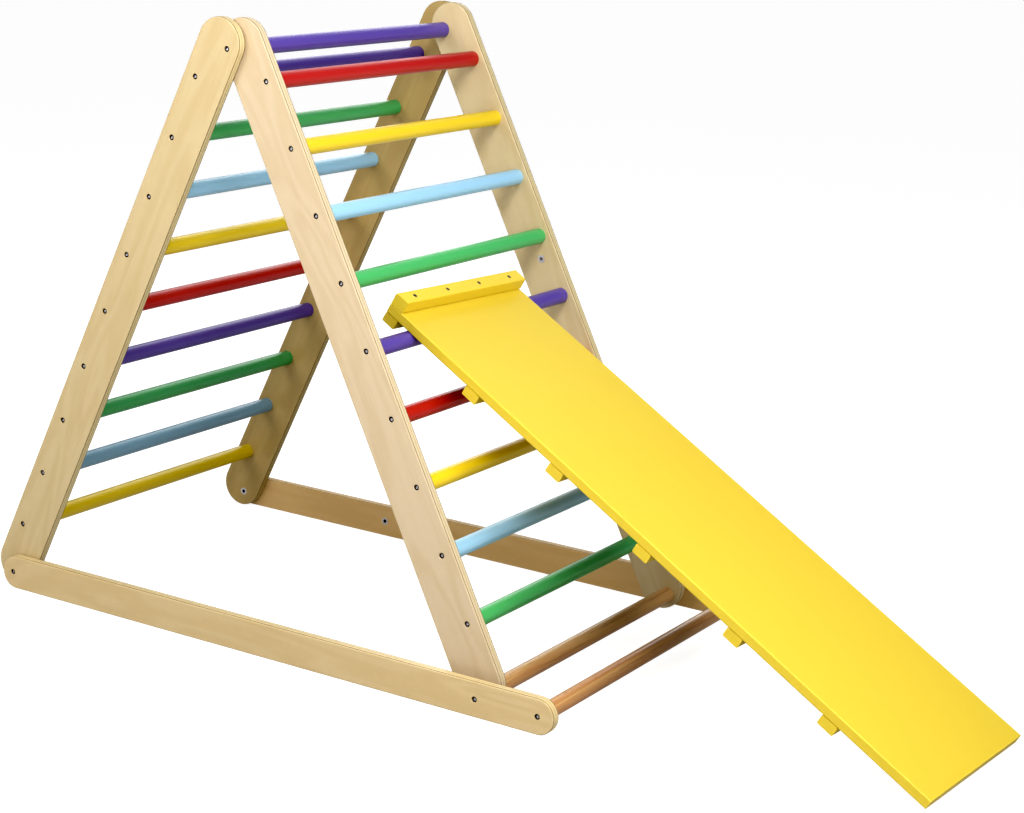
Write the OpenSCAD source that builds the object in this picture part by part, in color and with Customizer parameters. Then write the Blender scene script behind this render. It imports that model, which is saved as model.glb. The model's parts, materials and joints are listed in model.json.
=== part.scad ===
// Folding climbing triangle: two rung ladders, a base frame and a hook-on ramp.
// X runs from the rear ladder to the foot of the ramp, Y along the rungs, Z up.
// The origin is the centre of the footprint, on the floor.

/* [Triangle] */
// Height of the apex pivot above the floor
apex_h = 896.5; // [800:0.5:960]
// Level distance from the apex pivot to the rear foot bolt
rear_reach = 411; // [360:1:460]
// Level distance from the apex pivot to the base hinge
front_reach = 472.5; // [430:0.5:520]
// Clear length of the front rungs between their stiles
clear_w = 524; // [420:1:640]
// Thickness of the plywood stiles and rails
ply_t = 15; // [13:0.5:21]
// Play between two planks that slide past each other
side_play = 0.3; // [0.2:0.1:0.8]
// Radius that softens the long edges of the planks
edge_round = 2; // [1:0.25:3]

/* [Stiles] */
// Width of a stile
stile_w = 76; // [70:0.5:84]
// Distance from the climbing edge of a stile to the rung line
rung_edge = 21; // [18:0.5:26]
// Distance from the rung line back to the apex pivot
pivot_back = 34; // [30:0.5:38]
// Height of the round stile feet above the floor
foot_clear = 1; // [0.5:0.5:4]

/* [Rungs] */
// Diameter of the rungs and dowels
rung_d = 25; // [20:0.5:28]
// Number of rungs on each ladder, without the shared top rung
rung_count = 9; // [7:1:9]
// Distance between neighbouring rungs
rung_pitch = 103; // [95:0.5:104]
// Distance along the stile from the apex pivot to the first rung
first_rung = 65; // [58:0.5:72]
// Depth of the blind sockets that hold the rung ends
socket_depth = 8; // [6:0.5:9]
// Radial clearance of a glued rung in its socket
socket_clear = 0.05; // [0.02:0.01:0.1]
// Radial clearance of a dowel that turns in a stile
turn_clear = 0.1; // [0.05:0.01:0.2]

/* [Base] */
// Height of a base rail
rail_h = 53; // [48:0.5:58]
// Distance from the rear foot bolt to the rear end of the rail
rail_tail = 21; // [16:0.5:30]
// Distance between the two base dowels
dowel_gap = 104; // [80:0.5:120]
// Offset of the base hinge from the pivot line towards the rungs
hinge_out = 23; // [18:0.5:26]
// Offset of the rear foot bolt from the pivot line towards the rungs
foot_bolt_out = 7.5; // [2:0.5:14]
// Distance along the stile from the fourth rung to the storage lock
lock_drop = 36; // [32:0.5:56]

/* [Ramp] */
// Length of the ramp board
ramp_len = 1043; // [980:1:1080]
// Width of the ramp board
ramp_w = 306; // [260:1:360]
// Thickness of the ramp board
ramp_t = 15; // [12:0.5:18]
// Front rung that the ramp hangs on, counted from the top
ramp_rung_index = 5; // [3:1:7]
// Sideways place of the ramp, towards the far side
ramp_shift = -24; // [-60:1:60]
// Angle by which the ramp hangs askew on its rung
ramp_skew = -2.6; // [-3:0.1:3]
// Width of the top bar and the hook bar
bar_w = 24; // [20:0.5:30]
// Thickness of the top bar
bar_t = 20; // [15:0.5:24]
// Thickness of the hook bar and the treads, under the board
under_t = 15; // [12:0.5:20]
// Radius that softens the bars, treads and board
bar_round = 2; // [1:0.25:3]
// Gap between the board's underside and the rung it rests on
rest_gap = 0.3; // [0.3:0.1:0.8]
// Play between the hook bar and the rung
hook_play = 0.5; // [0.3:0.1:1.5]
// Width of the treads
tread_w = 27; // [20:0.5:32]
// Number of treads under the board
tread_count = 5; // [3:1:5]
// Distance from the top end of the board to the middle of the first tread
tread_first = 185; // [150:1:200]
// Distance between neighbouring treads
tread_pitch = 173; // [150:0.5:180]
// Distance between the screws along the top bar
bar_screw_pitch = 81; // [70:1:84]
// Distance between the two screws of a tread
tread_screw_gap = 205; // [160:1:220]

/* [Fasteners] */
// Head diameter of the rung screws
screw_head_d = 10; // [8:0.5:12]
// Shank diameter of the rung screws
screw_d = 6; // [4:0.5:6.5]
// Length of the rung screws
screw_len = 45; // [35:1:60]
// Width across the flats of the rung screws' hexagon sockets
screw_hex = 4; // [3:0.5:4]
// Depth of the rung screws' hexagon sockets
screw_socket_t = 2.4; // [1.5:0.1:3]
// Head diameter of the ramp screws
small_head_d = 7; // [6:0.5:8]
// Shank diameter of the ramp screws
small_d = 3.5; // [3:0.25:4]
// Width across the flats of the ramp screws' hexagon sockets
small_hex = 2.5; // [2:0.25:2.75]
// Wood left under the points of the ramp screws
screw_cover = 5.5; // [4:0.5:8]
// Head diameter of the foot and lock bolts
bolt_head_d = 13; // [11:0.5:15]
// Thickness of a bolt head
bolt_head_t = 2.5; // [2:0.25:3.5]
// Thread diameter of the bolts
bolt_d = 6; // [5:0.5:6.5]
// Width across the flats of the bolts' hexagon sockets
bolt_hex = 5; // [4:0.5:6]
// Depth of the bolts' hexagon sockets
bolt_socket_t = 2; // [1.5:0.25:2]
// Outer diameter of the threaded inserts
insert_d = 9; // [8.5:0.5:10]
// Flange diameter of the threaded inserts
insert_flange_d = 13; // [12:0.5:15]
// Flange thickness of the threaded inserts
insert_flange_t = 1.5; // [1:0.25:2.5]
// Depth of the blind storage insert
insert_len = 11; // [9:0.5:12]
// Radial clearance of every screw, bolt and insert in its hole
fix_clear = 0.05; // [0.03:0.01:0.1]

/* [Hidden] */
$fn = 96;
eps = 0.01;
rung_r = rung_d / 2;
rail_mid = rail_h / 2;
layer = ply_t + side_play;
// inner faces of the three plank layers, from the middle outwards
front_y = clear_w / 2;
rear_y = front_y + layer;
rail_y = rear_y + layer;

// ladder frame: n points from the pivot line to the climbing side, s runs down from the pivot
rung_n = pivot_back;
mid_n = pivot_back + rung_edge - stile_w / 2;
drop = apex_h - rail_mid;
rear_tilt = atan(rear_reach / drop) - asin(foot_bolt_out / norm([rear_reach, drop]));
front_tilt = atan(front_reach / drop) - asin(hinge_out / norm([front_reach, drop]));
function foot_s(tilt) = (apex_h + mid_n * sin(tilt) - stile_w / 2 - foot_clear) / cos(tilt);
rear_foot_s = foot_s(rear_tilt);
front_foot_s = foot_s(front_tilt);
hinge_s = sqrt(pow(norm([front_reach, drop]), 2) - pow(hinge_out, 2));
foot_bolt_s = sqrt(pow(norm([rear_reach, drop]), 2) - pow(foot_bolt_out, 2));
function rung_s(i) = first_rung + (i - 1) * rung_pitch;
// the storage lock meets its insert when the base is folded, equally far from the hinge
lock_rung_index = 4;
lock_s = rung_s(lock_rung_index) + lock_drop;
lock_reach = hinge_s - lock_s;

// ramp: a board tangent to its rung, with its lower far corner on the floor
skew_abs = abs(ramp_skew);
hook_front = ramp_w / 2 * tan(skew_abs) + (rung_r + hook_play) / cos(skew_abs);
board_top = -(hook_front + bar_w);
board_low = ramp_len + board_top;
low_reach = board_low * cos(skew_abs) + ramp_w / 2 * sin(skew_abs);
hang_r = rung_r + rest_gap;
hang_s = rung_s(ramp_rung_index);
hang_x = hang_s * sin(front_tilt) + rung_n * cos(front_tilt);
hang_z = apex_h - hang_s * cos(front_tilt) + rung_n * sin(front_tilt);
ramp_slope = asin(hang_z / norm([low_reach, hang_r])) + atan(hang_r / low_reach);

// the apex is placed so that the footprint is centred on the origin
back_x = rear_foot_s * sin(rear_tilt) + mid_n * cos(rear_tilt) + stile_w / 2;
front_x = hang_x + (hang_r + ramp_t) * sin(ramp_slope) + low_reach * cos(ramp_slope);
apex_x = (back_x - front_x) / 2;
hinge_x = apex_x + front_reach;
foot_bolt_x = apex_x - rear_reach;
rail_end_x = hinge_x + dowel_gap + rail_mid;
rail_tail_x = foot_bolt_x - rail_tail;

// heads: a short straight rim at the surface, then a cone down to the shank
rim = 0.4;
screw_head_t = (screw_head_d - screw_d) / 2 + rim;
small_head_t = (small_head_d - small_d) / 2 + rim;
small_socket_t = small_head_t;
// points: as long as the shank is wide, with a blunt tip
tip_share = 0.3;
bar_screw_len = bar_t + ramp_t + under_t - screw_cover;
tread_screw_len = under_t + ramp_t - screw_cover;
bar_screw_places = [-1.5, -0.5, 0.5, 1.5];
// floor of the blind storage insert
insert_floor = 1;
// how far a cut runs past the face that it opens
over = 1;

birch = "#E3CFA2";
dowel_wood = "#B5733F";
steel = "#8E9094";
ramp_yellow = "#FBDF4A";
purple = "#5A3FB0";
green = "#35A552";
blue = "#74BAD8";
yellow = "#EFCB24";
red = "#CA2A22";
rear_colours = [purple, green, blue, yellow, red, purple, green, blue, yellow];
front_colours = [red, yellow, blue, green, purple, red, yellow, blue, green];

// ---- places -------------------------------------------------------------

// front ladder frame: x is n, -z is s
module on_front() translate([apex_x, 0, apex_h]) rotate([0, -front_tilt, 0]) children();

// rear ladder frame, the mirror image of the front one
module on_rear() translate([apex_x, 0, apex_h]) rotate([0, rear_tilt, 0]) mirror([1, 0, 0]) children();

// what is built on the far side, mirrored to the near side where side is -1
module at_side(side) mirror([0, side < 0 ? 1 : 0, 0]) children();

// turns a child that stands on Z so that it points along +Y
module along_y() rotate([-90, 0, 0]) children();

// ramp frame: x runs down the board from its rung, z points away from its underside
module on_ramp()
    translate([apex_x + hang_x + hang_r * sin(ramp_slope), ramp_shift, hang_z + hang_r * cos(ramp_slope)])
        rotate([0, ramp_slope, 0]) rotate([0, 0, ramp_skew]) children();

// ---- shapes -------------------------------------------------------------

// rectangle with softened corners, centred on x and standing on y = 0
module soft_rect(w, t, r) {
    translate([-w / 2 + r, 0]) square([w - 2 * r, t]);
    translate([-w / 2, r]) square([w, t - 2 * r]);
    for (x = [-w / 2 + r, w / 2 - r], y = [r, t - r]) translate([x, y]) circle(r);
}

// plank of the given width with two round ends, whose centres lie at z = 0 and z = -span
module plank(width, span) {
    translate([0, 0, -span]) linear_extrude(span) soft_rect(width, ply_t, edge_round);
    for (z = [0, -span]) translate([0, 0, z]) along_y() rotate_extrude() intersection() {
        soft_rect(width, ply_t, edge_round);
        square([width, ply_t]);
    }
}

// bar as long as the ramp is wide, with softened edges, its back edge at x = 0, standing on z = 0
module bar(width, thick) translate([width / 2, ramp_w / 2, 0]) rotate([90, 0, 0])
    linear_extrude(ramp_w) soft_rect(width, thick, bar_round);

module hexagon(across, depth) cylinder(d = across / cos(30), h = depth, $fn = 6);

// screw that points down from its flush countersunk head at z = 0
module screw(head_d, shank_d, head_t, length, hex, socket_t) difference() {
    union() {
        translate([0, 0, -rim]) cylinder(d = head_d, h = rim);
        translate([0, 0, -head_t]) cylinder(d1 = shank_d, d2 = head_d, h = head_t - rim);
        translate([0, 0, shank_d - length]) cylinder(d = shank_d, h = length - shank_d - head_t);
        translate([0, 0, -length]) cylinder(d1 = tip_share * shank_d, d2 = shank_d, h = shank_d);
    }
    translate([0, 0, -socket_t]) hexagon(hex, socket_t + over);
}

// hole for such a screw, with its countersink
module screw_hole(head_d, shank_d, head_t, length) {
    sink_d = head_d + 2 * fix_clear;
    shank_hole_d = shank_d + 2 * fix_clear;
    translate([0, 0, -rim]) cylinder(d = sink_d, h = rim + eps);
    translate([0, 0, -head_t]) cylinder(d1 = shank_hole_d, d2 = sink_d, h = head_t - rim);
    translate([0, 0, -length - over]) cylinder(d = shank_hole_d, h = length + over - head_t);
}

module rung_screw() screw(screw_head_d, screw_d, screw_head_t, screw_len, screw_hex, screw_socket_t);
module rung_screw_hole() screw_hole(screw_head_d, screw_d, screw_head_t, screw_len);

// puts a screw or its hole on the outer face of a far plank whose inner face is at y
module from_outside(y) translate([0, y + ply_t, 0]) rotate([-90, 0, 0]) children();

// socket for a rung end and the screw hole behind it, in a far plank with its inner face at y = 0
module rung_socket() {
    translate([0, -eps, 0]) along_y() cylinder(r = rung_r + socket_clear, h = socket_depth + eps);
    from_outside(0) rung_screw_hole();
}

// rung along Y that reaches socket_depth into the planks at +-y, with pilot holes for its screws
module rung(y) difference() {
    translate([0, -(y + socket_depth), 0]) along_y() cylinder(r = rung_r, h = 2 * (y + socket_depth));
    for (side = [-1, 1]) at_side(side) from_outside(y) rung_screw_hole();
}

// bolt pointing down from its flush head at z = 0
module bolt(length) difference() {
    union() {
        translate([0, 0, -bolt_head_t]) cylinder(d = bolt_head_d, h = bolt_head_t);
        translate([0, 0, -length]) cylinder(d = bolt_d, h = length - bolt_head_t + eps);
    }
    translate([0, 0, -bolt_socket_t]) hexagon(bolt_hex, bolt_socket_t + over);
}

// hole for such a bolt, right through a plank
module bolt_hole() {
    translate([0, 0, -bolt_head_t]) cylinder(d = bolt_head_d + 2 * fix_clear, h = bolt_head_t + eps);
    translate([0, 0, -ply_t - over]) cylinder(d = bolt_d + 2 * fix_clear, h = ply_t + over);
}

// threaded insert pointing down from its flush flange at z = 0
module insert(length, bore_len) difference() {
    union() {
        translate([0, 0, -insert_flange_t]) cylinder(d = insert_flange_d, h = insert_flange_t);
        translate([0, 0, -length]) cylinder(d = insert_d, h = length);
    }
    translate([0, 0, -bore_len]) cylinder(d = bolt_d + 2 * fix_clear, h = bore_len + over);
}

// hole for such an insert
module insert_hole(length) {
    translate([0, 0, -insert_flange_t])
        cylinder(d = insert_flange_d + 2 * fix_clear, h = insert_flange_t + eps);
    translate([0, 0, -length]) cylinder(d = insert_d + 2 * fix_clear, h = length + eps);
}

// ---- front ladder -------------------------------------------------------

// place of front rung i, which stands on its ladder's rung line
module at_rung(i) translate([rung_n, 0, -rung_s(i)]) children();

module front_stile(side) color(birch) on_front() at_side(side) translate([0, front_y, 0]) difference() {
    translate([mid_n, 0, 0]) plank(stile_w, front_foot_s);
    for (i = [1 : rung_count]) at_rung(i) rung_socket();
    for (at = [[0, 0], [hinge_out, -hinge_s]]) translate([at.x, -over, at.y])
        along_y() cylinder(r = rung_r + turn_clear, h = ply_t + 2 * over);
    if (side > 0) translate([hinge_out, 0, -lock_s]) rotate([90, 0, 0]) bolt_hole();
}

module front_rung(i) color(front_colours[i - 1]) on_front() at_rung(i) rung(front_y);

module front_screws() color(steel) on_front() for (i = [1 : rung_count], side = [-1, 1])
    at_rung(i) at_side(side) from_outside(front_y) rung_screw();

module storage_bolt() color(steel) on_front()
    translate([hinge_out, front_y, -lock_s]) rotate([90, 0, 0]) bolt(ply_t);

// ---- rear ladder --------------------------------------------------------

module rear_stile(side) color(birch) on_rear() at_side(side) translate([0, rear_y, 0]) difference() {
    translate([mid_n, 0, 0]) plank(stile_w, rear_foot_s);
    for (i = [1 : rung_count]) at_rung(i) rung_socket();
    rung_socket();
    translate([foot_bolt_out, 0, -foot_bolt_s]) rotate([90, 0, 0]) insert_hole(ply_t + over);
}

module rear_rung(i) color(rear_colours[i - 1]) on_rear() at_rung(i) rung(rear_y);

module rear_screws() color(steel) on_rear() for (i = [1 : rung_count], side = [-1, 1])
    at_rung(i) at_side(side) from_outside(rear_y) rung_screw();

module top_rung() color(purple) on_rear() rung(rear_y);

module top_rung_screws() color(steel) on_rear() for (side = [-1, 1])
    at_side(side) from_outside(rear_y) rung_screw();

module foot_inserts() color(steel) on_rear() for (side = [-1, 1]) at_side(side)
    translate([foot_bolt_out, rear_y, -foot_bolt_s]) rotate([90, 0, 0]) insert(ply_t, ply_t + over);

// ---- base ---------------------------------------------------------------

// places on the rail's middle line, at the given x
module on_rail(x) translate([x, 0, rail_mid]) children();

module base_rail(side) color(birch) at_side(side) translate([0, rail_y, 0]) difference() {
    on_rail(rail_end_x - rail_mid) rotate([0, 90, 0]) plank(rail_h, rail_end_x - rail_tail_x - rail_h);
    for (x = [hinge_x, hinge_x + dowel_gap]) on_rail(x) rung_socket();
    on_rail(foot_bolt_x) from_outside(0) bolt_hole();
    if (side > 0) on_rail(hinge_x - lock_reach) rotate([90, 0, 0]) insert_hole(insert_len);
}

module base_dowel(x) color(dowel_wood) on_rail(x) rung(rail_y);

module base_screws() color(steel) for (x = [hinge_x, hinge_x + dowel_gap], side = [-1, 1])
    on_rail(x) at_side(side) from_outside(rail_y) rung_screw();

module foot_bolts() color(steel) for (side = [-1, 1])
    on_rail(foot_bolt_x) at_side(side) from_outside(rail_y) bolt(ply_t);

module storage_insert() color(steel) on_rail(hinge_x - lock_reach)
    translate([0, rail_y, 0]) rotate([90, 0, 0]) insert(insert_len, insert_len - insert_floor);

// ---- ramp ---------------------------------------------------------------

module at_tread(i) translate([board_top + tread_first + (i - 1) * tread_pitch, 0, 0]) children();

// the four screws of the top bar go down through the board into the hook bar
module at_bar_screws() for (k = bar_screw_places)
    translate([board_top + bar_w / 2, k * bar_screw_pitch, ramp_t + bar_t]) children();

// the two screws of each tread come up from underneath
module at_tread_screws() for (i = [1 : tread_count], side = [-1, 1]) at_tread(i)
    translate([0, side * tread_screw_gap / 2, -under_t]) rotate([180, 0, 0]) children();

module bar_screw_hole() screw_hole(small_head_d, small_d, small_head_t, bar_screw_len);
module tread_screw_hole() screw_hole(small_head_d, small_d, small_head_t, tread_screw_len);

module ramp_board() color(ramp_yellow) on_ramp() difference() {
    translate([board_top, 0, 0]) rotate([90, 0, 90])
        linear_extrude(ramp_len) soft_rect(ramp_w, ramp_t, bar_round);
    at_bar_screws() bar_screw_hole();
    at_tread_screws() tread_screw_hole();
}

module ramp_top_bar() color(ramp_yellow) on_ramp() difference() {
    translate([board_top, 0, ramp_t]) bar(bar_w, bar_t);
    at_bar_screws() bar_screw_hole();
}

module ramp_hook_bar() color(ramp_yellow) on_ramp() difference() {
    translate([board_top, 0, -under_t]) bar(bar_w, under_t);
    at_bar_screws() bar_screw_hole();
}

module ramp_tread(i) color(ramp_yellow) on_ramp() difference() {
    at_tread(i) translate([-tread_w / 2, 0, -under_t]) bar(tread_w, under_t);
    at_tread_screws() tread_screw_hole();
}

module top_bar_screws() color(steel) on_ramp() at_bar_screws()
    screw(small_head_d, small_d, small_head_t, bar_screw_len, small_hex, small_socket_t);

module tread_screws() color(steel) on_ramp() at_tread_screws()
    screw(small_head_d, small_d, small_head_t, tread_screw_len, small_hex, small_socket_t);

// ---- nodes --------------------------------------------------------------

front_stile(-1);  // front_stile_near
front_stile(1);  // front_stile_far
for (i = [1 : rung_count]) front_rung(i);
front_screws();
storage_bolt();
rear_stile(-1);  // rear_stile_near
rear_stile(1);  // rear_stile_far
for (i = [1 : rung_count]) rear_rung(i);
rear_screws();
top_rung();
top_rung_screws();
foot_inserts();
base_rail(-1);  // base_rail_near
base_rail(1);  // base_rail_far
base_dowel(hinge_x);  // hinge_dowel
base_dowel(hinge_x + dowel_gap);  // front_dowel
base_screws();
foot_bolts();
storage_insert();
ramp_board();
ramp_top_bar();
ramp_hook_bar();
for (i = [1 : tread_count]) ramp_tread(i);
top_bar_screws();
tread_screws();
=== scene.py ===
"""Looks of a folding climbing triangle: lacquered birch plywood, painted rungs and a painted ramp.

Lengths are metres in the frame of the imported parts. X runs from the rear ladder to the foot of the
ramp, Y runs along the rungs, and Z is up from the floor.
"""
import json
import math

import bmesh
import bpy
import numpy as np
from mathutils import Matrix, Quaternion, Vector
from mathutils.geometry import delaunay_2d_cdt


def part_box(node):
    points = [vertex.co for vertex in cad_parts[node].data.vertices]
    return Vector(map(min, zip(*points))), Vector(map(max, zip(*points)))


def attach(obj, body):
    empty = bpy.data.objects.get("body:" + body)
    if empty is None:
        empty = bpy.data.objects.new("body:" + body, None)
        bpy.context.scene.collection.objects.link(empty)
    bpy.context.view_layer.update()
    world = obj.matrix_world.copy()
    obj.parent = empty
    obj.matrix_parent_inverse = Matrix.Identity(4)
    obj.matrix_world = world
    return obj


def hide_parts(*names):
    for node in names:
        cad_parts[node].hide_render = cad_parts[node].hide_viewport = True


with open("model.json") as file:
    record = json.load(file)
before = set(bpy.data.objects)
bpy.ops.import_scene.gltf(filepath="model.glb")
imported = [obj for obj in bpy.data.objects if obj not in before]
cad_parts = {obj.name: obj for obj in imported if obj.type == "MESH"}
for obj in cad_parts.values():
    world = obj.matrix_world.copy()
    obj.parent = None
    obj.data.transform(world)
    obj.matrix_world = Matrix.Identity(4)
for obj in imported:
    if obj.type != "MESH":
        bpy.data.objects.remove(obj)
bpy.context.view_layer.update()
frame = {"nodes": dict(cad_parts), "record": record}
MM = 0.001


# ---- places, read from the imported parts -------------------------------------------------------

def middle(node):
    """Centre of a node's box."""
    low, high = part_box(node)
    return (low + high) / 2


def slope(first, last):
    """Angle above +X, in the XZ plane, of the line from one node's middle to another's."""
    run = middle(last) - middle(first)
    return math.atan2(run.z, run.x)


def extent(node, direction):
    """Lowest and highest place of a node's points along a direction."""
    mesh = frame["nodes"][node].data
    points = np.empty(len(mesh.vertices) * 3)
    mesh.vertices.foreach_get("co", points)
    reach = points.reshape(-1, 3) @ np.array(direction)
    return reach.min(), reach.max()


rear_slope = slope("rear_rung_9", "rear_rung_1")
front_slope = slope("front_rung_9", "front_rung_1")
# from the ramp's foot to its top, so board_normal points down, from the upper face to the treads
ramp_slope = slope("ramp_tread_5", "ramp_tread_1")
board_normal = (-math.sin(ramp_slope), 0, math.cos(ramp_slope))


# ---- shader maths -----------------------------------------------------------------------------

SEED_SHIFT = (1.0, 1.7, 2.3)


class Value:
    """A number, colour or vector in a material. Arithmetic on it adds Math nodes."""

    def __init__(self, tree, socket):
        self.tree = tree
        self.socket = socket

    def node(self, kind, settings, inputs, output=0):
        """Any node: its settings first, then its sockets' values or links."""
        made = self.tree.nodes.new(kind)
        for name, setting in settings.items():
            setattr(made, name, setting)
        for name, value in inputs.items():
            if isinstance(value, Value):
                self.tree.links.new(value.socket, made.inputs[name])
            else:
                made.inputs[name].default_value = value
        return Value(self.tree, made.outputs[output])

    def maths(self, operation, *values):
        """One Math node on the values given."""
        return self.node("ShaderNodeMath", {"operation": operation}, dict(enumerate(values)))

    def __add__(self, other):
        return self.maths("ADD", self, other)

    def __radd__(self, other):
        return self.maths("ADD", other, self)

    def __sub__(self, other):
        return self.maths("SUBTRACT", self, other)

    def __rsub__(self, other):
        return self.maths("SUBTRACT", other, self)

    def __mul__(self, other):
        return self.maths("MULTIPLY", self, other)

    def __rmul__(self, other):
        return self.maths("MULTIPLY", other, self)

    def __truediv__(self, other):
        return self.maths("DIVIDE", self, other)

    def __abs__(self):
        return self.maths("ABSOLUTE", self)

    def floor(self):
        return self.maths("FLOOR", self)

    def parts(self):
        """The X, Y and Z of a vector."""
        kind = "ShaderNodeSeparateXYZ"
        return [self.node(kind, {}, {0: self}, output=axis) for axis in range(3)]

    def step(self, low, high, from_value=0.0, to_value=1.0):
        """Rises smoothly from from_value to to_value as this value goes from low to high."""
        inputs = {0: self, 1: low, 2: high, 3: from_value, 4: to_value}
        return self.node("ShaderNodeMapRange", {"interpolation_type": "SMOOTHSTEP"}, inputs)

    def shaded(self, factor):
        """This colour with its brightness multiplied by a varying number."""
        return self.node("ShaderNodeVectorMath", {"operation": "SCALE"}, {0: self, "Scale": factor})

    def stretched(self, factors, shift=(0, 0, 0)):
        """These coordinates with each direction multiplied by its own factor, then shifted."""
        inputs = {0: self, 1: factors, 2: shift}
        return self.node("ShaderNodeVectorMath", {"operation": "MULTIPLY_ADD"}, inputs)

    def noise(self, factors, seed, detail=2.0, roughness=0.5, distortion=0.0):
        """Noise from 0 to 1 with a feature about every 1/factor metres in each direction.

        The seed moves the pattern by seed times SEED_SHIFT, so that patterns don't repeat.
        """
        at = self.stretched(factors, tuple(seed * shift for shift in SEED_SHIFT))
        inputs = {"Vector": at, "Scale": 1.0, "Detail": detail, "Roughness": roughness,
                  "Distortion": distortion}
        return self.node("ShaderNodeTexNoise", {}, inputs)


def blend(maker, share, first, second):
    """A Mix node for colours: first where share is 0, second where it is 1."""
    colours = [c if isinstance(c, Value) else (*c, 1.0) for c in (first, second)]
    inputs = {0: share, 6: colours[0], 7: colours[1]}
    return maker.node("ShaderNodeMix", {"data_type": "RGBA"}, inputs, output=2)


def finish(name, **fixed):
    """A new material with fixed values for some of its sockets, and the part's coordinates."""
    material = bpy.data.materials.new(name)
    material.use_nodes = True
    tree = material.node_tree
    shader = tree.nodes["Principled BSDF"]
    for socket, value in fixed.items():
        shader.inputs[socket.replace("_", " ")].default_value = value
    coordinates = tree.nodes.new("ShaderNodeTexCoord")
    return material, Value(tree, coordinates.outputs["Object"])


def lay(material, colour, roughness, height, relief):
    """Links what varies over the surface: colour, roughness, and height times relief in metres."""
    tree = material.node_tree
    shader = tree.nodes["Principled BSDF"]
    inputs = {"Height": height, "Distance": relief, "Strength": 1.0}
    bump = height.node("ShaderNodeBump", {}, inputs)
    tree.links.new(colour.socket, shader.inputs["Base Color"])
    tree.links.new(roughness.socket, shader.inputs["Roughness"])
    tree.links.new(bump.socket, shader.inputs["Normal"])
    return material


def turned(at, angle):
    """Coordinates along, through and across a plank that lies at an angle in the XZ plane."""
    return at.node("ShaderNodeMapping", {}, {"Vector": at, "Rotation": (0, angle, 0)})


# ---- birch plywood ----------------------------------------------------------------------------

FACE_PLY_T = 1.0 * MM
CORE_PLY_T = 1.444 * MM
CORE_PLIES = 9
STRONG_EVERY = 4
GLUE_T = 0.2 * MM
PLY_BLUR = 0.05
WHOLE = (0.4, 0.6)
BIRCH_RELIEF = 0.05 * MM

BIRCH_PALE = (0.572, 0.463, 0.274)
BIRCH_WARM = (0.527, 0.409, 0.222)
BIRCH_VEIN = (0.39, 0.26, 0.125)
PLY_LONG = (0.62, 0.52, 0.30)
PLY_CROSS = (0.14, 0.085, 0.03)
GLUE_LINE = (0.22, 0.12, 0.045)


def shade_of(colour, painted_light):
    """A colour with its red, green and blue each made brighter or darker by a factor."""
    return tuple(factor * part for factor, part in zip(painted_light, colour))


def ply_layers(through, first_face):
    """How much a point is in the core, in one of its dark crosswise plies, and near a glue line.

    ply counts the core's plies from 0 at first_face. Crosswise plies and pale lengthwise ones take
    turns. The outermost crosswise plies are the darkest, then the middle one. The step from 1 to 0
    over WHOLE tells 0 from the other whole numbers.
    """
    ply = (through - (first_face + FACE_PLY_T)) / CORE_PLY_T
    core = (ply.step(-PLY_BLUR, PLY_BLUR)
            * ply.step(CORE_PLIES - PLY_BLUR, CORE_PLIES + PLY_BLUR, 1, 0))
    turn = ply.maths("MODULO", ply.floor(), STRONG_EVERY)
    middle_ply = abs(ply.floor() - (CORE_PLIES - 1) / 2).step(*WHOLE, 1, 0)
    strong = turn.step(*WHOLE, 1, 0) * (1 - middle_ply * 0.5)
    weak = abs(turn - STRONG_EVERY / 2).step(*WHOLE, 1, 0)
    from_glue = (0.5 - abs(ply - ply.floor() - 0.5)) * CORE_PLY_T
    return core, strong + weak * 0.15, from_glue.step(0, GLUE_T, 1, 0)


def birch_plywood(name, angle, side, inner_face, seed, painted_light):
    """Satin-lacquered birch plywood for a plank at an angle, on one side (-1 near, 1 far).

    The face veneer has broad pale growth bands, fine fibres, short pores and faint ray fleck, all
    drawn out along the plank. The edge shows the layers by depth alone, so the round edges show
    them as contour lines.
    """
    material, at = finish(name, Coat_Weight=0.08, Coat_Roughness=0.3, Specular_IOR_Level=0.4)
    plank = turned(at, angle)
    through = plank.parts()[1] * side

    drift = plank.noise((1.6, 40, 9), seed, detail=2, distortion=0.6)
    rings = drift.maths("SINE", drift * 60)
    figure = rings.step(-1, 1) * 0.5 + plank.noise((3, 60, 26), seed + 3, detail=3) * 0.5
    fibres = plank.noise((9, 420, 420), seed + 5, detail=3, roughness=0.6)
    pores = plank.noise((160, 1500, 1500), seed + 7, detail=1).step(0.66, 0.78)
    fleck = plank.noise((60, 200, 90), seed + 9, detail=2).step(0.45, 0.75)

    # painted light and shade: one factor on all of this plank's colours stands in for its light
    pale, warm, vein = (shade_of(colour, painted_light) for colour in (BIRCH_PALE, BIRCH_WARM, BIRCH_VEIN))
    face = blend(at, figure, pale, warm)
    face = blend(at, fibres.step(0.5, 0.8) * 0.16 + pores * 0.08, face, vein)
    face = face.shaded(1.0 + fleck * 0.025)

    core, crosswise, glue = ply_layers(through, inner_face)
    wool = plank.noise((420, 900, 420), seed + 11, detail=2)
    light, dark, line = (shade_of(colour, painted_light) for colour in (PLY_LONG, PLY_CROSS, GLUE_LINE))
    edge = blend(at, crosswise * (0.75 + wool * 0.25), light, dark)
    edge = blend(at, fibres.step(0.5, 0.8) * 0.15, edge, vein)
    edge = blend(at, glue * 0.12, edge, line)

    colour = blend(at, core, face, edge)
    roughness = 0.36 + fibres * 0.12 + core * 0.12 + pores * 0.1
    height = (fibres * 0.5 - pores * 0.6) * (1 - core * 0.7) - core * (crosswise + glue) * 0.6
    return lay(material, colour, roughness, height, BIRCH_RELIEF)


# ---- paint and oil on round wood --------------------------------------------------------------

PAINT_DEEPER = 0.72
PAINT_PALER = 1.08
PAINT_MILK = 0.012
PAINT_RELIEF = 0.035 * MM


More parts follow.
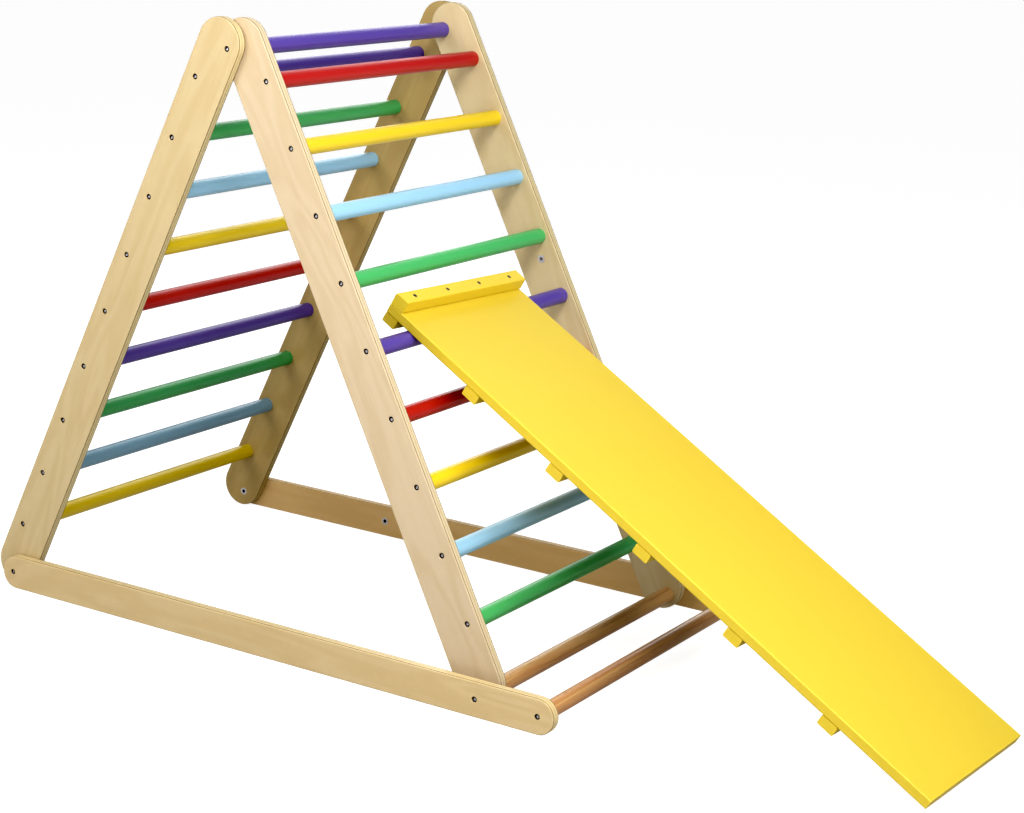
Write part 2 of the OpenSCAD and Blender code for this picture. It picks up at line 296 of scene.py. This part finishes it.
def painted_rung(name, colour, seed):
    """Semi-gloss paint on a turned rod: faint grain along Y, brush drag and a soft orange peel.

    It is deeper where the grain thins it, and paler, c * PAINT_PALER + PAINT_MILK, where the drag
    is low.
    """
    material, at = finish(name, Coat_Weight=0.15, Coat_Roughness=0.2, Specular_IOR_Level=0.5)
    grain = at.noise((330, 7, 330), seed, detail=3, roughness=0.6)
    drag = at.noise((90, 2.5, 90), seed + 2, detail=2)
    peel = at.noise((600, 420, 600), seed + 4, detail=1)
    thin = grain.step(0.58, 0.8) * 0.22
    deep = tuple(c * PAINT_DEEPER for c in colour)
    pale = tuple(min(1.0, c * PAINT_PALER + PAINT_MILK) for c in colour)
    shade = blend(at, drag, pale, colour)
    shade = blend(at, thin, shade, deep)
    roughness = 0.27 + drag * 0.14 + grain * 0.08
    height = grain * 0.7 + peel * 0.4 + drag * 0.3
    return lay(material, shade, roughness, height, PAINT_RELIEF)


OIL_PALE = (0.575, 0.368, 0.175)
OIL_RED = (0.431, 0.208, 0.08)
OIL_DARK = (0.19, 0.09, 0.038)
OIL_RELIEF = 0.07 * MM


def oiled_dowel(name, seed):
    """Reddish oiled hardwood: long streaks along Y from pale to dark, with short open pores."""
    material, at = finish(name, Coat_Weight=0.35, Coat_Roughness=0.25, Specular_IOR_Level=0.5)
    broad = at.noise((60, 2.2, 60), seed, detail=3, distortion=0.4)
    streak = at.noise((240, 5, 240), seed + 2, detail=4, roughness=0.65)
    pores = at.noise((900, 70, 900), seed + 4, detail=1).step(0.62, 0.75)
    colour = blend(at, broad.step(0.3, 0.7), OIL_PALE, OIL_RED)
    colour = blend(at, streak.step(0.48, 0.75) * 0.65 + pores * 0.3, colour, OIL_DARK)
    roughness = 0.36 + streak * 0.15 + pores * 0.15
    return lay(material, colour, roughness, streak * 0.6 - pores, OIL_RELIEF)


# ---- painted ramp -----------------------------------------------------------------------------

RAMP_YELLOW = (0.625, 0.478, 0.063)
RAMP_DEEP = (0.58, 0.425, 0.038)
# painted light and shade: the top bar brighter, the hook bar darker, as a factor on the yellow
RAMP_PAINTED_LIGHT = {"ramp_top_bar": 1.13, "ramp_hook_bar": 0.85}
RAMP_RELIEF = 0.05 * MM


def ramp_paint(name, angle, first_face, painted_light, seed):
    """Satin yellow paint on plywood: roller texture, a hint of the veneer, and layered edges.

    The layers are counted from first_face, the piece's upper one.
    """
    material, at = finish(name, Coat_Weight=0.05, Coat_Roughness=0.35, Specular_IOR_Level=0.3)
    board = turned(at, angle)
    through = board.parts()[2]
    roller = board.noise((330, 330, 330), seed, detail=2)
    veneer = board.noise((7, 240, 7), seed + 2, detail=3, roughness=0.6)
    cloud = board.noise((5, 9, 5), seed + 4, detail=2)
    core, crosswise, glue = ply_layers(through, first_face)
    layers = core * (crosswise * 0.35 + glue * 0.5)
    # the factor on both yellows paints the light and shade on this piece
    pale, dark = (shade_of(colour, (painted_light, painted_light, painted_light)) for colour in (RAMP_YELLOW, RAMP_DEEP))
    colour = blend(at, cloud * 0.12 + veneer.step(0.55, 0.8) * 0.10 + layers * 0.3, pale, dark)
    roughness = 0.40 + cloud * 0.08 + roller * 0.08
    height = roller * 0.5 + veneer * 0.5 - layers * 0.6
    return lay(material, colour, roughness, height, RAMP_RELIEF)


# ---- steel fasteners --------------------------------------------------------------------------

ZINC = (0.80, 0.79, 0.81)
ZINC_DULL = (0.50, 0.48, 0.52)
BLACKENED = (0.040, 0.034, 0.032)
# painted shade: a dark grey standing in for the shade deep in bores and on the ramp's screws
PAINTED_SHADE_GREY = (0.22, 0.17, 0.17)
RIM_DEPTH = 0.3 * MM
BORE_DEPTH = 1.0 * MM
STEEL_RELIEF = 0.02 * MM


def fastener_steel(name, rim, bore, seed, open_face=None):
    """Steel with cloudy plating and fine scratches: one finish on its rim, another in its bore.

    The finishes are zinc, black, painted shade, a dark grey that paints the shade deep in a bore,
    and painted, the ramp's yellow. open_face is how far from the middle plane the head or flange
    lies, and the distance |(|y| - open_face)| is the depth below it. Without an open_face the
    bore's finish covers it all, with a trace of the rim's.
    """
    material, at = finish(name, Metallic=1.0)
    cloud = at.noise((500, 500, 500), seed, detail=3)
    scratch = at.noise((2600, 400, 2600), seed + 2, detail=1)
    deep = 1.0
    if open_face is not None:
        deep = abs(abs(at.parts()[1]) - open_face).step(RIM_DEPTH, BORE_DEPTH)
    # the dark grey finish is painted shade; the others are the steel's own and the ramp's yellow
    finishes = {"zinc": blend(at, cloud.step(0.3, 0.7) * 0.6, ZINC, ZINC_DULL),
                "black": blend(at, cloud.step(0.4, 0.8) * 0.15, BLACKENED, ZINC_DULL),
                "painted_shade": PAINTED_SHADE_GREY,
                "painted": RAMP_YELLOW}
    colour = blend(at, deep * 0.95, finishes[rim], finishes[bore])
    roughness = 0.26 + cloud * 0.18 + deep * 0.1
    return lay(material, colour, roughness, scratch, STEEL_RELIEF)


# ---- shapes -----------------------------------------------------------------------------------

ROUND_STEPS = 6
ARC_STEPS = 40
HOLE_STEPS = 48
SHARP_ANGLE = math.radians(35)
INSIDE_ONLY = 1
MERGE_WITHIN = 1e-8


class Shape:
    """Points and faces in a frame of its own, gathered ring by ring."""

    def __init__(self):
        self.points = np.empty((0, 3))
        self.faces = []

    def rings(self, rings):
        """Adds closed rings with as many points each, with quads between them, and indexes them."""
        index = len(self.points) + np.arange(len(rings) * len(rings[0])).reshape(len(rings), -1)
        after = np.roll(index, -1, axis=1)
        quads = np.stack([index[:-1], after[:-1], after[1:], index[1:]], axis=-1)
        self.points = np.concatenate([self.points, *rings])
        self.faces += quads.reshape(-1, 4).tolist()
        return index

    def fill(self, loops):
        """Fills the flat area inside the first loop of indices with triangles.

        The other loops stay open: they are convex, so a triangle with all its corners on one of
        them lies in that hole, and is left out.
        """
        index = np.concatenate(loops)
        edges = []
        for loop in loops:
            first = len(edges)
            edges += [(first + i, first + (i + 1) % len(loop)) for i in range(len(loop))]
        flat = [Vector((u, v)) for u, _, v in self.points[index]]
        polygons, origin = delaunay_2d_cdt(flat, edges, [], INSIDE_ONLY, MERGE_WITHIN)[2:4]
        corners = np.array([[origin[i][0] for i in polygon] for polygon in polygons])
        loop_of = np.repeat(np.arange(len(loops)), [len(loop) for loop in loops])[corners]
        in_hole = (loop_of[:, 0] > 0) & (np.ptp(loop_of, axis=1) == 0)
        self.faces += index[corners[~in_hole]].tolist()

    def piece(self, name, node, material):
        """The finished object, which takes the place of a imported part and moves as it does."""
        mesh = bpy.data.meshes.new(name)
        mesh.from_pydata(self.points.tolist(), [], self.faces)
        tidy = bmesh.new()
        tidy.from_mesh(mesh)
        bmesh.ops.recalc_face_normals(tidy, faces=tidy.faces)
        tidy.to_mesh(mesh)
        tidy.free()
        mesh.shade_smooth()
        mesh.set_sharp_from_angle(angle=SHARP_ANGLE)
        mesh.materials.append(material)
        piece = bpy.data.objects.new(name, mesh)
        bpy.context.scene.collection.objects.link(piece)
        weighted = piece.modifiers.new("weighted normals", "WEIGHTED_NORMAL")
        weighted.keep_sharp = True
        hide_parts(node)
        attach(piece, body_of(node))
        slot_of(node)
        return piece


def body_of(node):
    """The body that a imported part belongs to."""
    return next(b for b, nodes in frame["record"]["behaviour"]["bodies"].items() if node in nodes)


def slot_of(node):
    """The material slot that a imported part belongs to."""
    rows = frame["record"]["subparts"]
    return next(row["material_slot"] for row in rows if row["node"] == node)


# ---- planks -----------------------------------------------------------------------------------

EDGE_ROUND = 2 * MM
ROD_R = (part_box("top_rung")[1].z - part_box("top_rung")[0].z) / 2
SOCKET_R = ROD_R + 0.05 * MM
SOCKET_DEPTH = 8 * MM
TURNING_R = ROD_R + 0.1 * MM
SHANK_HOLE_R = 3.05 * MM
HEAD_HOLE_R = 4.3 * MM
HEAD_RIM = 0.4 * MM
SCREW_SUNK = 1.3 * MM
SCREW_CONE_T = 2.6 * MM
SCREW_HEAD_R = 4.1 * MM
SCREW_CHAMFER = 0.35 * MM
SHANK_R = 2.5 * MM
KEY_HALF_W = 2.0 * MM
KEY_DEPTH = 1.2 * MM
SCREW_STEPS = 36
FLANGE_HOLE_R = 6.55 * MM
BOLT_HEAD_T = 2.5 * MM
INSERT_HOLE_R = 4.55 * MM
INSERT_FLANGE_T = 1.5 * MM
BLIND_INSERT_T = 11 * MM


def hole_profile(kind, thick):
    """Radius and depth of a hole, from the plank's inner face to its outer one or to its floor."""
    sunk_head = [(SHANK_HOLE_R, thick - SCREW_SUNK - SCREW_CONE_T),
                 (HEAD_HOLE_R, thick - SCREW_SUNK), (HEAD_HOLE_R, thick - HEAD_RIM),
                 (HEAD_HOLE_R + HEAD_RIM, thick)]
    flange = [(FLANGE_HOLE_R, 0), (FLANGE_HOLE_R, INSERT_FLANGE_T),
              (INSERT_HOLE_R, INSERT_FLANGE_T)]
    return {
        "socket": [(SOCKET_R, 0), (SOCKET_R, SOCKET_DEPTH), (SHANK_HOLE_R, SOCKET_DEPTH),
                   *sunk_head],
        "turning": [(TURNING_R, 0), (TURNING_R, thick)],
        "inner bolt": [(FLANGE_HOLE_R, 0), (FLANGE_HOLE_R, BOLT_HEAD_T),
                       (SHANK_HOLE_R, BOLT_HEAD_T), (SHANK_HOLE_R, thick)],
        "outer bolt": [(SHANK_HOLE_R, 0), *sunk_head],
        "insert": [*flange, (INSERT_HOLE_R, thick)],
        "blind insert": [*flange, (INSERT_HOLE_R, BLIND_INSERT_T)],
    }[kind]


def outline(ends, radius):
    """Closed outline of a bar with round ends: half circles about (ends[1], 0) and (ends[0], 0)."""
    turn = np.linspace(-math.pi / 2, math.pi / 2, ARC_STEPS + 1)
    arc = radius * np.stack([np.cos(turn), np.sin(turn)], axis=1)
    return np.concatenate([arc + (ends[1], 0), (ends[0], 0) - arc])


def at_depth(flat, depth, middle_v=0.0):
    """Points (u, depth, v) from flat ones (u, v)."""
    return np.stack([flat[:, 0], np.full(len(flat), depth), flat[:, 1] + middle_v], axis=1)


def plank(node, angle, side, holes, material):
    """A plank with round ends and quarter-round long edges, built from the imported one's reach.

    u runs along it, v across it and the depth from its inner face. The edge's quarter round of
    radius r has inset r (1 - sin a) at depth r (1 - cos a). holes pairs the node that sits in a
    hole with the hole's kind, and that node's middle gives the place.
    """
    along = np.array((math.cos(angle), 0, math.sin(angle)))
    across = np.array((-math.sin(angle), 0, math.cos(angle)))
    u_low, u_high = extent(node, along)
    v_low, v_high = extent(node, across)
    inner, outer = extent(node, (0, side, 0))
    half, middle_v, thick = (v_high - v_low) / 2, (v_high + v_low) / 2, outer - inner
    ends = (u_low + half, u_high - half)

    turn = np.linspace(0, math.pi / 2, ROUND_STEPS + 1)
    inset = EDGE_ROUND * (1 - np.sin(turn))
    depth = EDGE_ROUND * (1 - np.cos(turn))
    insets = np.concatenate([inset, inset[::-1]])
    depths = np.concatenate([depth, thick - depth[::-1]])
    shape = Shape()
    rim = shape.rings([at_depth(outline(ends, half - inset), depth, middle_v)
                       for inset, depth in zip(insets, depths)])
    inner_loops, outer_loops = [rim[0]], [rim[-1]]

    turn = np.linspace(0, 2 * math.pi, HOLE_STEPS, endpoint=False)
    circle = np.stack([np.cos(turn), np.sin(turn)], axis=1)
    for filler, kind in holes:
        place = np.array(middle(filler))
        centre = (place @ along, place @ across)
        profile = hole_profile(kind, thick)
        wall = shape.rings([at_depth(circle * r + centre, d) for r, d in profile])
        inner_loops.append(wall[0])
        if kind == "blind insert":
            shape.faces.append(wall[-1].tolist())
        else:
            outer_loops.append(wall[-1])
    shape.fill(inner_loops)
    shape.fill(outer_loops)

    u, d, v = shape.points.T
    shape.points = u[:, None] * along + v[:, None] * across
    shape.points[:, 1] = side * (inner + d)
    return shape.piece(node + "_plank", node, material)


# ---- sunk screws ------------------------------------------------------------------------------

def sunk_screws(node, neighbours, material):
    """Screws with a countersunk head and a hexagon socket, sunk below the planks' outer faces.

    They lie along Y, one at each end of every neighbour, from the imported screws' outer faces in to
    their tips. At angle a, a hexagon of half width w has its wall at w / cos((a mod 60) - 30).
    """
    reach = np.abs(np.array([point.co.y for point in frame["nodes"][node].data.vertices]))
    length = reach.max() - reach.min()
    angle = np.linspace(0, 2 * math.pi, SCREW_STEPS, endpoint=False)
    round_wall = np.stack([np.cos(angle), np.sin(angle)], axis=1)
    key_wall = round_wall / np.cos(angle % (math.pi / 3) - math.pi / 6)[:, None]
    profile = [(key_wall * KEY_HALF_W, SCREW_SUNK + KEY_DEPTH), (key_wall * KEY_HALF_W, SCREW_SUNK),
               (round_wall * (SCREW_HEAD_R - SCREW_CHAMFER), SCREW_SUNK),
               (round_wall * SCREW_HEAD_R, SCREW_SUNK + SCREW_CHAMFER),
               (round_wall * SHANK_R, SCREW_SUNK + SCREW_CONE_T), (round_wall * SHANK_R, length)]
    shape = Shape()
    for neighbour in neighbours:
        x, _, z = middle(neighbour)
        for side in (-1, 1):
            wall = shape.rings([at_depth(ring + (x, z), side * (reach.max() - depth))
                                for ring, depth in profile])
            shape.faces += [wall[0].tolist(), wall[-1].tolist()]
    return shape.piece(node + "_sunk", node, material)


# ---- which finish each part has ---------------------------------------------------------------

RUNG_PAINTS = {
    "purple": (0.105, 0.067, 0.312),
    "red": (0.388, 0.018, 0.0165),
    "yellow": (0.686, 0.510, 0.030),
    "blue": (0.309, 0.526, 0.685),
    "green": (0.080, 0.411, 0.135),
}
# painted light and shade: the photograph's light on single rungs, as a factor on their colour
RUNG_PAINTED_LIGHT = {"rear_rung_1": 0.9, "rear_rung_2": 0.85, "rear_rung_6": 0.8, "rear_rung_7": 0.7,
              "rear_rung_8": 0.58, "rear_rung_9": 0.85, "front_rung_7": 1.1}


def rung_sockets(side):
    """The sockets of a ladder's nine rungs."""
    return [(f"{side}_rung_{i}", "socket") for i in range(1, 10)]


REAR_HOLES = rung_sockets("rear") + [("top_rung", "socket"), ("foot_inserts", "insert")]
FRONT_HOLES = rung_sockets("front") + [("top_rung", "turning"), ("hinge_dowel", "turning")]
RAIL_HOLES = [("hinge_dowel", "socket"), ("front_dowel", "socket"), ("foot_bolts", "outer bolt")]
# each plank's angle, side (-1 near, 1 far), factors on its colour for the photograph's light, holes
PLANKS = {
    "rear_stile_near": (rear_slope, -1, (1, 1, 1), REAR_HOLES),
    "rear_stile_far": (rear_slope, 1, (0.71, 0.65, 0.48), REAR_HOLES),
    "front_stile_near": (front_slope, -1, (1.02, 1.03, 1.21), FRONT_HOLES),
    "front_stile_far": (front_slope, 1, (0.98, 1.0, 1.06),
                        FRONT_HOLES + [("storage_bolt", "inner bolt")]),
    "base_rail_near": (0.0, -1, (1.10, 1.07, 1.05), RAIL_HOLES),
    "base_rail_far": (0.0, 1, (1.14, 0.98, 0.80),
                      RAIL_HOLES + [("storage_insert", "blind insert")]),
}


def dress(node, material):
    """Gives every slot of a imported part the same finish."""
    for place in frame["nodes"][node].material_slots:
        place.material = material


for seed, (node, (angle, side, painted_light, holes)) in enumerate(PLANKS.items()):
    inner_face = extent(node, (0, side, 0))[0]
    birch = birch_plywood("birch_" + node, angle, side, inner_face, 11.0 * seed + 4, painted_light)
    plank(node, angle, side, holes, birch)

for seed, node in enumerate(frame["nodes"]):
    first_slot = frame["nodes"][node].material_slots[0].material.name
    if first_slot.startswith("paint_"):
        paint = RUNG_PAINTS[first_slot.split(".")[0].removeprefix("paint_")]
        # painted light and shade on single rungs, as a factor on their paint
        painted_light = RUNG_PAINTED_LIGHT.get(node, 1.0)
        dress(node, painted_rung("paint_" + node, shade_of(paint, (painted_light, painted_light, painted_light)), 3.0 * seed))

for seed, node in enumerate(("hinge_dowel", "front_dowel")):
    dress(node, oiled_dowel("oiled_" + node, 3.0 + 7 * seed))

for seed, node in enumerate(n for n in frame["nodes"] if n.startswith("ramp_")):
    upper_face = extent(node, board_normal)[0]
    painted_light = RAMP_PAINTED_LIGHT.get(node, 1.0)
    dress(node, ramp_paint("yellow_" + node, ramp_slope, upper_face, painted_light, 2.0 * seed))

SUNK_SCREWS = {
    "front_screws": [f"front_rung_{i}" for i in range(1, 10)],
    "rear_screws": [f"rear_rung_{i}" for i in range(1, 10)],
    "top_rung_screws": ["top_rung"],
    "base_screws": ["hinge_dowel", "front_dowel"],
    "foot_bolts": ["foot_bolts"],
}
for node, neighbours in SUNK_SCREWS.items():
    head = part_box(node)[1].y - SCREW_SUNK
    sunk_screws(node, neighbours, fastener_steel("steel_" + node, "black", "zinc", 1.0, head))
# the bolt's and inserts' bores turn dark grey deeper in: painted shade
for node in ("storage_bolt", "foot_inserts", "storage_insert"):
    inner = min(abs(point.co.y) for point in frame["nodes"][node].data.vertices)
    dress(node, fastener_steel("steel_" + node, "zinc", "painted_shade", 1.5, inner))
# these screws are dark grey all over, painted shade, with a trace of the ramp's yellow
for node in ("top_bar_screws", "tread_screws"):
    dress(node, fastener_steel("steel_" + node, "painted", "painted_shade", 2.0))


# ---- studio -----------------------------------------------------------------------------------

WHITE = (1, 1, 1)
FLOOR_HALF_W = 40.0
FLOOR_GREY = (0.3, 0.3, 0.3)
FLOOR_SEEN = (0.9, 0.9, 0.9)
SHADED_R = 0.3
LIT_R = 1.6
SHADED_GLOW = (0.2, 0.2, 0.2)
LIT_GLOW = (0.5, 0.5, 0.5)
HORIZON = (-0.1, 0.1)


def studio_floor():
    """A plain white floor: one large square that looks evenly white.

    Its glow on the object grows from SHADED_GLOW to LIT_GLOW with the distance from the middle, as
    on a floor that is shaded by what stands on it.
    """
    square = ((-1, -1), (1, -1), (1, 1), (-1, 1))
    corners = [(x * FLOOR_HALF_W, y * FLOOR_HALF_W, 0.0) for x, y in square]
    mesh = bpy.data.meshes.new("studio_floor")
    mesh.from_pydata(corners, [], [(0, 1, 2, 3)])
    floor = bpy.data.objects.new("studio_floor", mesh)
    bpy.context.scene.collection.objects.link(floor)
    material, at = finish("white_floor", Base_Color=(*FLOOR_GREY, 1), Roughness=0.9,
                          Specular_IOR_Level=0.1, Emission_Strength=1.0)
    tree = material.node_tree
    seen = Value(tree, tree.nodes.new("ShaderNodeLightPath").outputs["Is Camera Ray"])
    x, y, _ = at.parts()
    radius = x.maths("SQRT", x * x + y * y)
    glow = blend(at, radius.step(SHADED_R, LIT_R), SHADED_GLOW, LIT_GLOW)
    light = blend(at, seen, glow, FLOOR_SEEN)
    tree.links.new(light.socket, tree.nodes["Principled BSDF"].inputs["Emission Color"])
    mesh.materials.append(material)


def softbox(name, place, target, width, power):
    """A square area light at a place, turned to face a target, with its power in watts."""
    light = bpy.data.lights.new(name, "AREA")
    light.shape = "SQUARE"
    light.size = width
    light.energy = power
    holder = bpy.data.objects.new(name, light)
    holder.location = place
    holder.rotation_euler = (Vector(target) - Vector(place)).to_track_quat("-Z", "Y").to_euler()
    holder.visible_camera = False
    bpy.context.scene.collection.objects.link(holder)


def studio_world(sky, ground, mirrored_ground):
    """Even white light from above, and a glow from below the horizon, dimmer in reflections.

    One turns into the other between the two heights of HORIZON. The camera sees plain white.
    """
    world = bpy.data.worlds.new("studio")
    world.use_nodes = True
    bpy.context.scene.world = world
    tree = world.node_tree
    background = tree.nodes["Background"]
    heading = Value(tree, tree.nodes.new("ShaderNodeTexCoord").outputs["Generated"])
    height = heading.parts()[2]
    path = tree.nodes.new("ShaderNodeLightPath")
    seen = Value(tree, path.outputs["Is Camera Ray"])
    mirrored = Value(tree, path.outputs["Is Glossy Ray"])
    below = blend(heading, mirrored, ground, mirrored_ground)
    light = blend(heading, height.step(*HORIZON), below, sky)
    tree.links.new(blend(heading, seen, light, WHITE).socket, background.inputs["Color"])


studio_floor()
studio_world(sky=(0.25, 0.25, 0.25), ground=(1.02, 1.02, 1.02), mirrored_ground=(0.35, 0.35, 0.35))
softbox("key", (1.5, -0.3, 1.3), (-0.3, 0.0, 0.5), 0.8, 19.0)
softbox("low key", (1.2, -0.9, 0.8), (-0.3, 0.0, 0.4), 0.6, 5.5)
softbox("left", (-1.3, -2.7, 2.0), (-0.2, 0.0, 0.5), 1.6, 53.5)
softbox("high", (0.6, -1.3, 2.0), (-0.3, 0.0, 0.7), 0.9, 35.4)
softbox("backdrop", (-1.4, 2.6, 1.7), (0.0, 0.0, 0.6), 2.0, 34.5)


# ---- camera, at the photograph's place --------------------------------------------------------

PHOTO_PX = (1024, 813)
FOCAL_PX = 2252.06
PRINCIPAL_PX = (529.46, 331.40)
SENSOR = 36.0
NEAREST = 0.05
FARTHEST = 200.0
CAMERA_FROM_APEX = Vector((2.06439, -2.82193, 0.32086))
CAMERA_AZIMUTH = math.radians(31.2732)
CAMERA_ELEVATION = math.radians(12.4755)
CAMERA_ROLL = math.radians(2.495)

lens = bpy.data.cameras.new("camera")
lens.sensor_width = SENSOR
lens.lens = SENSOR * FOCAL_PX / PHOTO_PX[0]
lens.shift_x = (PHOTO_PX[0] / 2 - PRINCIPAL_PX[0]) / PHOTO_PX[0]
lens.shift_y = (PRINCIPAL_PX[1] - PHOTO_PX[1] / 2) / PHOTO_PX[0]
lens.clip_start = NEAREST
lens.clip_end = FARTHEST
camera = bpy.data.objects.new("camera", lens)
back = Vector((math.sin(CAMERA_AZIMUTH) * math.cos(CAMERA_ELEVATION),
               -math.cos(CAMERA_AZIMUTH) * math.cos(CAMERA_ELEVATION),
               math.sin(CAMERA_ELEVATION)))
camera.rotation_mode = "QUATERNION"
camera.rotation_quaternion = (-back).to_track_quat("-Z", "Y") @ Quaternion((0, 0, 1), CAMERA_ROLL)
camera.location = middle("top_rung") + CAMERA_FROM_APEX
bpy.context.scene.collection.objects.link(camera)
bpy.context.scene.camera = camera

# the photograph's contrast: below a black level all is black, and tones follow tone ** TONE_POWER
BLACK_LEVEL = 0.036
TONE_POWER = 1.163
TONE_STOPS = (0.03, 0.08, 0.18, 0.33, 0.5, 0.75)
ALL_COLOURS = 3
grade = bpy.context.scene.view_settings
grade.view_transform = "Standard"
grade.use_curve_mapping = True
grade.curve_mapping.black_level = (BLACK_LEVEL, BLACK_LEVEL, BLACK_LEVEL)
for stop in TONE_STOPS:
    grade.curve_mapping.curves[ALL_COLOURS].points.new(stop, stop ** TONE_POWER)
grade.curve_mapping.update()
